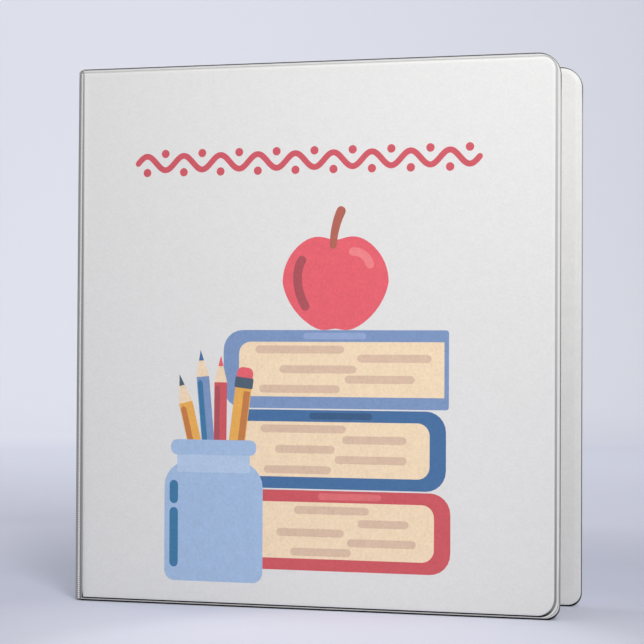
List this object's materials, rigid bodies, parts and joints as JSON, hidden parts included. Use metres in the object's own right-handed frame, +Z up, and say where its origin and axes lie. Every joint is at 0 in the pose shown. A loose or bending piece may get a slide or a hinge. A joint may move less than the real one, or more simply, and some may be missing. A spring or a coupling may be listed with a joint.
{
  "type": "ring binder",
  "caption": "White vinyl-covered ring binder with hinged covers, inner pockets and round rings that open on a spring plate worked by end levers.",
  "frame": {"origin": "centre of the bottom of the bounding box of the closed binder standing on its bottom edges", "axes": "+Z up along the spine's length, -X is the spine side and +X the covers' free edges, -Y is the front cover's outward side"},
  "size_m": [0.2768, 0.065, 0.2985],
  "materials": {
    "cover_vinyl": "white flexible vinyl with a fine embossed grain",
    "chipboard": "plain grey-brown board",
    "pocket_vinyl": "thin smooth white vinyl sheet",
    "plate_steel": "nickel-plated sheet steel",
    "blade_steel": "zinc-plated sheet steel",
    "ring_wire": "nickel-plated round wire",
    "rivet_metal": "nickel-plated rivet",
    "lever_steel": "nickel-plated pressed steel",
    "lever_pin_steel": "plain steel pin"
  },
  "bodies": {
    "spine": {"spine_board": "chipboard", "spine_outer_skin": "cover_vinyl", "spine_inner_liner": "cover_vinyl", "front_hinge_bead": "cover_vinyl", "back_hinge_bead": "cover_vinyl", "ring_housing": "plate_steel", "top_rivet": "rivet_metal", "bottom_rivet": "rivet_metal", "top_lever_pin": "lever_pin_steel", "bottom_lever_pin": "lever_pin_steel"},
    "front_cover": {"front_board": "chipboard", "front_outer_skin": "cover_vinyl", "front_inner_liner": "cover_vinyl", "front_pocket": "pocket_vinyl"},
    "back_cover": {"back_board": "chipboard", "back_outer_skin": "cover_vinyl", "back_inner_liner": "cover_vinyl", "back_pocket": "pocket_vinyl"},
    "front_ring_bar": {"front_blade": "blade_steel", "front_ring_bottom": "ring_wire", "front_ring_middle": "ring_wire", "front_ring_top": "ring_wire"},
    "rear_ring_bar": {"rear_blade": "blade_steel", "rear_ring_bottom": "ring_wire", "rear_ring_middle": "ring_wire", "rear_ring_top": "ring_wire"},
    "top_lever": {"top_lever": "lever_steel"},
    "bottom_lever": {"bottom_lever": "lever_steel"}
  },
  "joints": [
    {"name": "front_cover_hinge", "type": "hinge", "parent": "spine", "child": "front_cover", "pos_m": [-0.13605, -0.031, 0.14925], "axis": [0, 0, -1], "range_deg": [0, 180]},
    {"name": "back_cover_hinge", "type": "hinge", "parent": "spine", "child": "back_cover", "pos_m": [-0.13605, 0.031, 0.14925], "axis": [0, 0, 1], "range_deg": [0, 180]},
    {"name": "front_ring_bar_pivot", "type": "hinge", "parent": "spine", "child": "front_ring_bar", "pos_m": [-0.13135, -0.00955, 0.14925], "axis": [0, 0, -1], "range_deg": [0, 13]},
    {"name": "rear_ring_bar_pivot", "type": "hinge", "parent": "spine", "child": "rear_ring_bar", "pos_m": [-0.13135, 0.00955, 0.14925], "axis": [0, 0, 1], "range_deg": [0, 13]},
    {"name": "top_lever_pivot", "type": "hinge", "parent": "spine", "child": "top_lever", "pos_m": [-0.13135, 0, 0.28125], "axis": [0, -1, 0], "range_deg": [0, 24.7]},
    {"name": "bottom_lever_pivot", "type": "hinge", "parent": "spine", "child": "bottom_lever", "pos_m": [-0.13135, 0, 0.01725], "axis": [0, 1, 0], "range_deg": [0, 24.7]}
  ],
  "couplings": [
    {"joint": "rear_ring_bar_pivot", "follows": "front_ring_bar_pivot", "ratio": 1},
    {"joint": "top_lever_pivot", "follows": "front_ring_bar_pivot", "ratio": 1.8923},
    {"joint": "bottom_lever_pivot", "follows": "front_ring_bar_pivot", "ratio": 1.8923}
  ]
}
